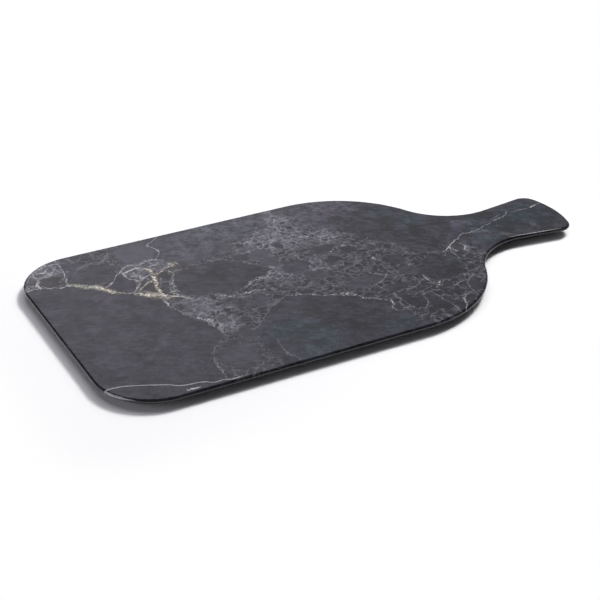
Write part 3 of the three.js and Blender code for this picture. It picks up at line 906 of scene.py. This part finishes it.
    def edge_shade_and_rim_highlights(self, colour):
        """Painted shade: the print is darkened over the rounded edge, standing in for the dark reflection
        along the rim. The rim's pale lines stay pale: a vein and painted highlights.
        """
        top = TOP_FACE * 1000
        height = self.parts(self.millimetres())["Z"]
        # Painted shade: the rounded edge darkened towards the darkest fragments
        drawn = self.ramp(height, top, top - EDGE_SHADE_ONSET, 0.0, EDGE_PAINTED_SHADE)
        colour = self.mix(drawn, colour, FRAGMENT_DARK)
        # Painted highlights along the rim, with the vein across the corner
        rim = self.ramp(self.vein_distance(RIM_VEINS_AND_HIGHLIGHTS, self.place), 1.2, 0.2)
        return self.mix(self.product(rim, RIM_HIGHLIGHT_STRENGTH), colour, VEIN_WHITE)

    def cream_veins(self, colour):
        """A crackled mossy vein, and cream veins: a golden stain with pale spots in it."""
        spots = self.noise(self.place, SPOT_SIZE, detail=3.0, rough=0.7)
        moss = self.ramp(self.vein_distance(MOSS_VEINS), 1.3, 0.5)
        crackle = self.ramp(spots, 0.40, 0.60, 0.16, 0.85)
        colour = self.mix(self.product(moss, crackle), colour, VEIN_MOSS)

        away = self.vein_distance(CREAM_VEINS)
        patchy = self.ramp(self.blotch, 0.38, 0.60, 0.35, 0.85)
        stain = self.product(self.ramp(away, 3.0, 0.6), patchy)
        colour = self.mix(stain, colour, self.mix(self.fade, VEIN_UMBER, VEIN_GOLD))
        cream = self.product(self.ramp(away, 1.7, 0.3), self.ramp(spots, 0.43, 0.60), self.fade)
        return self.mix(cream, colour, VEIN_CREAM)

    def material(self):
        """The whole print under its clear, slightly smeared and waved glaze."""
        colour = self.cream_veins(self.edge_shade_and_rim_highlights(self.veins(self.stone())))
        smear = self.noise(self.place, SMEAR_SIZE, detail=4.0)
        rough = self.ramp(smear, 0.3, 0.7, 0.20, 0.26)
        peel = self.bump(self.noise(self.place, PEEL_SIZE), PEEL_DEPTH)
        return self.principled(base_color=colour, roughness=rough, ior=GLAZE_IOR, normal=peel)


# Plain materials: two colours each, and the depth of the grain in metres

MELAMINE_COLOURS = (srgb(20, 20, 22), srgb(30, 30, 33))
MELAMINE_GRAIN = 0.00001
RUBBER_COLOURS = (srgb(26, 26, 27), srgb(44, 44, 45))
RUBBER_GRAIN = 0.00004
ADHESIVE_COLOURS = (srgb(188, 182, 166), srgb(214, 209, 196))
ADHESIVE_GRAIN = 0.00003


def black_melamine():
    """Smooth black moulding with a trace of speckle and uneven gloss."""
    shader = Shader(bpy.data.materials.new("black melamine"))
    place = shader.millimetres()
    speckle = shader.noise(place, 0.8, detail=3.0)
    colour = shader.mix(speckle, *MELAMINE_COLOURS)
    rough = shader.ramp(shader.noise(place, 6.0, detail=3.0), 0.3, 0.7, 0.26, 0.36)
    grain = shader.bump(speckle, MELAMINE_GRAIN)
    return shader.principled(base_color=colour, roughness=rough, normal=grain)


def rubber():
    """Matt black rubber with a little dust in its grain."""
    shader = Shader(bpy.data.materials.new("matt black rubber"))
    dust = shader.noise(shader.millimetres(), 0.5, detail=4.0, rough=0.7)
    colour = shader.mix(shader.ramp(dust, 0.35, 0.75), *RUBBER_COLOURS)
    rough = shader.ramp(dust, 0.3, 0.7, 0.75, 0.92)
    grain = shader.bump(dust, RUBBER_GRAIN)
    return shader.principled(base_color=colour, roughness=rough, normal=grain)


def adhesive():
    """Hazy, yellowish acrylic."""
    shader = Shader(bpy.data.materials.new("acrylic adhesive"))
    haze = shader.noise(shader.millimetres(), 1.5, detail=3.0)
    colour = shader.mix(haze, *ADHESIVE_COLOURS)
    rough = shader.ramp(haze, 0.3, 0.7, 0.42, 0.58)
    grain = shader.bump(haze, ADHESIVE_GRAIN)
    return shader.principled(base_color=colour, roughness=rough, normal=grain)


# The object

face = marble_face(Marble().material())
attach(face, "root")
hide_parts("decor_foil", "clear_glaze")

body = moulding(black_melamine())
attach(body, "root")
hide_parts("moulded_body")

rubber_material = rubber()
adhesive_material = adhesive()
for foot_name in FEET:
    foot = rubber_foot(foot_name, rubber_material)
    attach(foot, "root")
    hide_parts("foot_" + foot_name)
    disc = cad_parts["foot_adhesive_" + foot_name]
    disc.data.materials.clear()
    disc.data.materials.append(adhesive_material)


# Stage. The floor turns plain white between two distances from the board's box, in metres.

FLOOR_SIZE = 12.0
FLOOR_COLOUR = (0.97, 0.97, 0.97, 1.0)
FLOOR_WHITENS = (0.015, 0.06)
WHITE = (1.0, 1.0, 1.0, 1.0)


def floor_material():
    """White paper: it takes the board's shadow, and is plain white away from the board."""
    shader = Shader(bpy.data.materials.new("pale floor"))
    place = shader.node("ShaderNodeTexCoord").outputs["Object"]
    half_box = (BOARD_LENGTH / 2, HALF_WIDTH, 0.0)
    outside = shader.vector("SUBTRACT", shader.vector("ABSOLUTE", place), half_box)
    outside = shader.vector("LENGTH", shader.vector("MAXIMUM", outside, (0.0, 0.0, 0.0)))
    away = shader.ramp(outside, *FLOOR_WHITENS)
    light_path = shader.node("ShaderNodeLightPath").outputs
    seen = shader.most(light_path["Is Camera Ray"], light_path["Is Glossy Ray"])
    seen = shader.most(seen, light_path["Is Transmission Ray"])
    paper = shader.node("ShaderNodeBsdfDiffuse", {"Color": FLOOR_COLOUR}).outputs[0]
    white = shader.node("ShaderNodeEmission", {"Color": WHITE, "Strength": 1.0}).outputs[0]
    mixed = shader.node("ShaderNodeMixShader", {0: shader.product(seen, away), 1: paper, 2: white})
    shader.node("ShaderNodeOutputMaterial", {"Surface": mixed.outputs[0]})
    return shader.owner


def floor():
    """A large square table top."""
    half = FLOOR_SIZE / 2
    corners = [(-half, -half, 0), (half, -half, 0), (half, half, 0), (-half, half, 0)]
    mesh = bpy.data.meshes.new("floor")
    mesh.from_pydata(corners, [], [(0, 1, 2, 3)])
    mesh.materials.append(floor_material())
    made = bpy.data.objects.new("floor", mesh)
    bpy.context.scene.collection.objects.link(made)


# Brightness of the studio round the board by compass direction, in degrees from +Y towards +X.
# Each glow's rise is the height of direction where it ends, and the one below which it is full.
SKY_DIM = 0.03
SKY_COLOUR = (0.79, 0.785, 0.85, 1.0)
PANEL = [
    (-180, 0), (-20, 0), (0, 0.03), (9, 0.38), (14, 0.82), (17.5, 0.93), (20, 0.88), (24, 0.78), (28, 0.66),
    (31, 0.56), (34, 0.48), (39, 0.4), (45, 0.34), (60, 0.15), (100, 0), (180, 0),
]
PANEL_RISE = (0.80, 0.62)
HORIZON = [
    (-180, 0.12), (-140, 0.7), (-100, 1.75), (-40, 1.75), (0, 0.6), (60, 0.3), (120, 0.12), (180, 0.12),
]
HORIZON_RISE = (0.24, 0.06)
SIDE_CARD = [
    (-180, 0), (-160, 0.03), (-140, 0.25), (-110, 0.25), (-90, 0.18), (-70, 0.12), (-50, 0.03), (-40, 0),
    (180, 0),
]
SIDE_CARD_RISE = (0.75, 0.55)


def studio_sky():
    """A dim room: one bright soft panel behind the board, a pale horizon and a dull card on the left."""
    world = bpy.data.worlds.new("studio")
    bpy.context.scene.world = world
    shader = Shader(world)
    parts = shader.parts(shader.node("ShaderNodeTexCoord").outputs["Generated"])
    azimuth = shader.math("DEGREES", shader.math("ARCTAN2", parts["X"], parts["Y"]))
    level = None
    for levels, rise in ((PANEL, PANEL_RISE), (HORIZON, HORIZON_RISE), (SIDE_CARD, SIDE_CARD_RISE)):
        glow = shader.product(shader.curve(azimuth, levels), shader.ramp(parts["Z"], *rise))
        level = shader.most(level, glow)
    strength = shader.math("ADD", level, SKY_DIM)
    background = shader.node("ShaderNodeBackground", {"Color": SKY_COLOUR, "Strength": strength})
    shader.node("ShaderNodeOutputWorld", {"Surface": background.outputs[0]})


# Lamps, as (name, place, side in metres, power in watts, colour)
PLAIN_LIGHT = (1.0, 1.0, 1.0)
FILL_LIGHT = (0.98, 0.98, 1.06)
KEY_PLACE = (1.66, 0.62, 2.22)
LAMPS = [
    ("key", KEY_PLACE, 0.65, 57.0, PLAIN_LIGHT),
    ("key halo", KEY_PLACE, 2.0, 27.0, PLAIN_LIGHT),
    ("overhead", (-0.1, 0.45, 2.2), 1.5, 10.8, FILL_LIGHT),
    ("side", (-2.2, -0.15, 0.85), 1.2, 8.2, FILL_LIGHT),
]


def soft_box(name, place, side, power, colour):
    """A square lamp aimed at the board. It lights the board but isn't mirrored in it."""
    data = bpy.data.lights.new(name, "AREA")
    data.shape = "SQUARE"
    data.size = side
    data.energy = power
    data.color = colour
    lamp = bpy.data.objects.new(name, data)
    lamp.location = place
    lamp.rotation_euler = (-Vector(place)).to_track_quat("-Z", "Y").to_euler()
    lamp.visible_glossy = False
    bpy.context.scene.collection.objects.link(lamp)


CAMERA_PLACE = Vector((-0.43079, -0.75724, TOP_FACE + 0.46240))
CAMERA_PITCH = math.radians(29.266)
CAMERA_TURN = math.radians(28.434)
CAMERA_LENS = 86.3
CAMERA_SENSOR = 36.0
CAMERA_CLIP_START = 0.01


def camera():
    """The camera at the photograph's viewing angle."""
    data = bpy.data.cameras.new("camera")
    data.lens = CAMERA_LENS
    data.sensor_width = CAMERA_SENSOR
    data.clip_start = CAMERA_CLIP_START
    made = bpy.data.objects.new("camera", data)
    made.location = CAMERA_PLACE
    made.rotation_euler = (QUARTER - CAMERA_PITCH, 0.0, -CAMERA_TURN)
    bpy.context.scene.collection.objects.link(made)
    bpy.context.scene.camera = made


floor()
studio_sky()
for lamp_values in LAMPS:
    soft_box(*lamp_values)
camera()
bpy.context.scene.view_settings.view_transform = "Standard"
